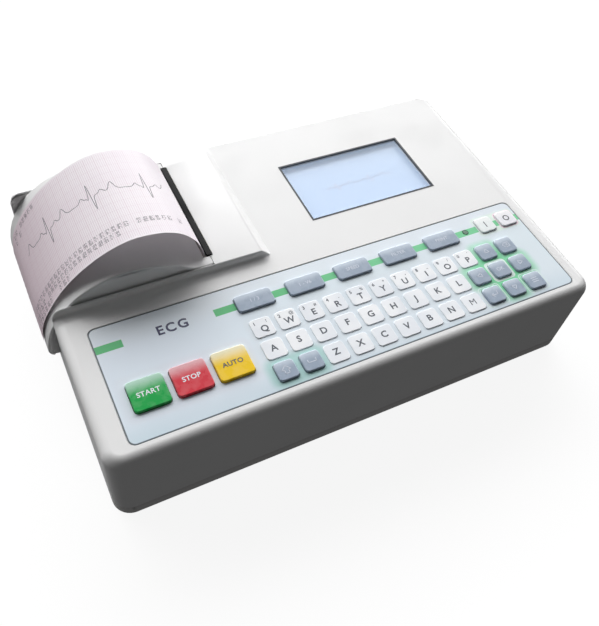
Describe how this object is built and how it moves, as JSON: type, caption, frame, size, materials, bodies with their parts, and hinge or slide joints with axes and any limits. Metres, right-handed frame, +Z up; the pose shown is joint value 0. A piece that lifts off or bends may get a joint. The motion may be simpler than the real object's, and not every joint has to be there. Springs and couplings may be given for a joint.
{
  "type": "ecg machine",
  "caption": "Portable electrocardiograph: low rounded case with a keyboard panel, recessed display and a strip printer under a hinged barrel lid with paper coming out.",
  "frame": {"origin": "centre of the outline on the plane that the feet stand on", "axes": "+X to the operator's right, +Y away from the operator to the back, +Z up"},
  "size_m": [0.264, 0.17, 0.0824],
  "materials": {
    "case_plastic": "fine moulded texture, satin",
    "lid_plastic": "fine moulded texture, satin",
    "overlay_film": "printed polyester, satin",
    "circuit_board": "solder resist, satin",
    "display_lens": "clear, polished",
    "display_glass": "lit display, smooth",
    "steel": "plated sheet, satin",
    "battery_wrap": "shrink wrap",
    "black_plastic": "moulded, satin",
    "head_ceramic": "fired, smooth",
    "heat_sink_aluminium": "extruded",
    "cradle_plastic": "moulded, matte",
    "led_lens": "clear moulded",
    "foot_rubber": "matte",
    "chart_paper": "smooth thermal coat, pink printed grid",
    "roller_rubber": "ground, matte",
    "gear_plastic": "acetal",
    "pinion_brass": "machined",
    "key_green": "satin cap, printed label",
    "key_red": "satin cap, printed label",
    "key_yellow": "satin cap, printed label",
    "key_white": "satin cap, printed label",
    "key_grey": "satin cap, printed label"
  },
  "bodies": {
    "case": {"top_case": "case_plastic", "bottom_case": "case_plastic", "keypad_overlay": "overlay_film", "keypad_board": "circuit_board", "display_window": "display_lens", "lcd_frame": "steel", "lcd_panel": "display_glass", "main_board": "circuit_board", "battery_pack": "battery_wrap", "battery_door": "case_plastic", "tear_bar": "black_plastic", "print_head": "head_ceramic", "head_heat_sink": "heat_sink_aluminium", "head_spring": "steel", "printer_frame": "steel", "feed_motor": "steel", "paper_cradle": "cradle_plastic", "lid_hinge_pin_front": "steel", "lid_hinge_pin_rear": "steel", "patient_connector": "steel", "power_inlet": "black_plastic", "equipotential_pin": "steel", "status_led": "led_lens", "foot_front_left": "foot_rubber", "foot_front_right": "foot_rubber", "foot_rear_left": "foot_rubber", "foot_rear_right": "foot_rubber", "case_screw_front_left": "steel", "case_screw_front_right": "steel", "case_screw_rear_left": "steel", "case_screw_rear_right": "steel"},
    "lid": {"paper_lid": "lid_plastic", "paper_strip": "chart_paper"},
    "platen": {"platen_shaft": "steel", "platen_roller": "roller_rubber", "platen_gear": "gear_plastic"},
    "idler": {"idler_gear": "gear_plastic"},
    "motor": {"motor_pinion": "pinion_brass"},
    "roll": {"paper_roll": "chart_paper", "roll_core": "cradle_plastic"},
    "key_start": {"key_start": "key_green"},
    "key_stop": {"key_stop": "key_red"},
    "key_auto": {"key_auto": "key_yellow"},
    "key_f1": {"key_f1": "key_grey"},
    "key_f2": {"key_f2": "key_grey"},
    "key_f3": {"key_f3": "key_grey"},
    "key_f4": {"key_f4": "key_grey"},
    "key_f5": {"key_f5": "key_grey"},
    "key_on": {"key_on": "key_white"},
    "key_off": {"key_off": "key_white"},
    "key_up": {"key_up": "key_grey"},
    "key_clear": {"key_clear": "key_grey"},
    "key_left": {"key_left": "key_grey"},
    "key_ok": {"key_ok": "key_grey"},
    "key_right": {"key_right": "key_grey"},
    "key_enter": {"key_enter": "key_grey"},
    "key_down": {"key_down": "key_grey"},
    "key_menu": {"key_menu": "key_grey"},
    "key_shift": {"key_shift": "key_grey"},
    "key_space": {"key_space": "key_grey"}
  },
  "joints": [
    {"name": "lid_hinge", "type": "hinge", "parent": "case", "child": "lid", "pos_m": [-0.1265, 0.035, 0.0282], "axis": [0, -1, 0], "range_deg": [0, 60]},
    {"name": "platen_spin", "type": "hinge", "parent": "lid", "child": "platen", "pos_m": [-0.0555, 0.0338, 0.0486], "axis": [0, 1, 0], "continuous": true},
    {"name": "idler_spin", "type": "hinge", "parent": "case", "child": "idler", "pos_m": [-0.05174, 0.0686, 0.03553], "axis": [0, 1, 0], "continuous": true},
    {"name": "motor_spin", "type": "hinge", "parent": "case", "child": "motor", "pos_m": [-0.04054, 0.0686, 0.03553], "axis": [0, 1, 0], "continuous": true},
    {"name": "roll_spin", "type": "hinge", "parent": "case", "child": "roll", "pos_m": [-0.085, 0.0338, 0.047], "axis": [0, 1, 0], "continuous": true},
    {"name": "press_start", "type": "slide", "parent": "case", "child": "key_start", "axis": [0, 0, -1], "range_m": [0, 0.0006], "stiffness_N_per_m": 300},
    {"name": "press_stop", "type": "slide", "parent": "case", "child": "key_stop", "axis": [0, 0, -1], "range_m": [0, 0.0006], "stiffness_N_per_m": 300},
    {"name": "press_auto", "type": "slide", "parent": "case", "child": "key_auto", "axis": [0, 0, -1], "range_m": [0, 0.0006], "stiffness_N_per_m": 300},
    {"name": "press_f1", "type": "slide", "parent": "case", "child": "key_f1", "axis": [0, 0, -1], "range_m": [0, 0.0006], "stiffness_N_per_m": 300},
    {"name": "press_f2", "type": "slide", "parent": "case", "child": "key_f2", "axis": [0, 0, -1], "range_m": [0, 0.0006], "stiffness_N_per_m": 300},
    {"name": "press_f3", "type": "slide", "parent": "case", "child": "key_f3", "axis": [0, 0, -1], "range_m": [0, 0.0006], "stiffness_N_per_m": 300},
    {"name": "press_f4", "type": "slide", "parent": "case", "child": "key_f4", "axis": [0, 0, -1], "range_m": [0, 0.0006], "stiffness_N_per_m": 300},
    {"name": "press_f5", "type": "slide", "parent": "case", "child": "key_f5", "axis": [0, 0, -1], "range_m": [0, 0.0006], "stiffness_N_per_m": 300},
    {"name": "press_on", "type": "slide", "parent": "case", "child": "key_on", "axis": [0, 0, -1], "range_m": [0, 0.0006], "stiffness_N_per_m": 300},
    {"name": "press_off", "type": "slide", "parent": "case", "child": "key_off", "axis": [0, 0, -1], "range_m": [0, 0.0006], "stiffness_N_per_m": 300},
    {"name": "press_up", "type": "slide", "parent": "case", "child": "key_up", "axis": [0, 0, -1], "range_m": [0, 0.0006], "stiffness_N_per_m": 300},
    {"name": "press_clear", "type": "slide", "parent": "case", "child": "key_clear", "axis": [0, 0, -1], "range_m": [0, 0.0006], "stiffness_N_per_m": 300},
    {"name": "press_left", "type": "slide", "parent": "case", "child": "key_left", "axis": [0, 0, -1], "range_m": [0, 0.0006], "stiffness_N_per_m": 300},
    {"name": "press_ok", "type": "slide", "parent": "case", "child": "key_ok", "axis": [0, 0, -1], "range_m": [0, 0.0006], "stiffness_N_per_m": 300},
    {"name": "press_right", "type": "slide", "parent": "case", "child": "key_right", "axis": [0, 0, -1], "range_m": [0, 0.0006], "stiffness_N_per_m": 300},
    {"name": "press_enter", "type": "slide", "parent": "case", "child": "key_enter", "axis": [0, 0, -1], "range_m": [0, 0.0006], "stiffness_N_per_m": 300},
    {"name": "press_down", "type": "slide", "parent": "case", "child": "key_down", "axis": [0, 0, -1], "range_m": [0, 0.0006], "stiffness_N_per_m": 300},
    {"name": "press_menu", "type": "slide", "parent": "case", "child": "key_menu", "axis": [0, 0, -1], "range_m": [0, 0.0006], "stiffness_N_per_m": 300},
    {"name": "press_shift", "type": "slide", "parent": "case", "child": "key_shift", "axis": [0, 0, -1], "range_m": [0, 0.0006], "stiffness_N_per_m": 300},
    {"name": "press_space", "type": "slide", "parent": "case", "child": "key_space", "axis": [0, 0, -1], "range_m": [0, 0.0006], "stiffness_N_per_m": 300}
  ],
  "couplings": [
    {"joint": "platen_spin", "follows": "idler_spin", "ratio": -1.125},
    {"joint": "motor_spin", "follows": "idler_spin", "ratio": -1.8}
  ]
}
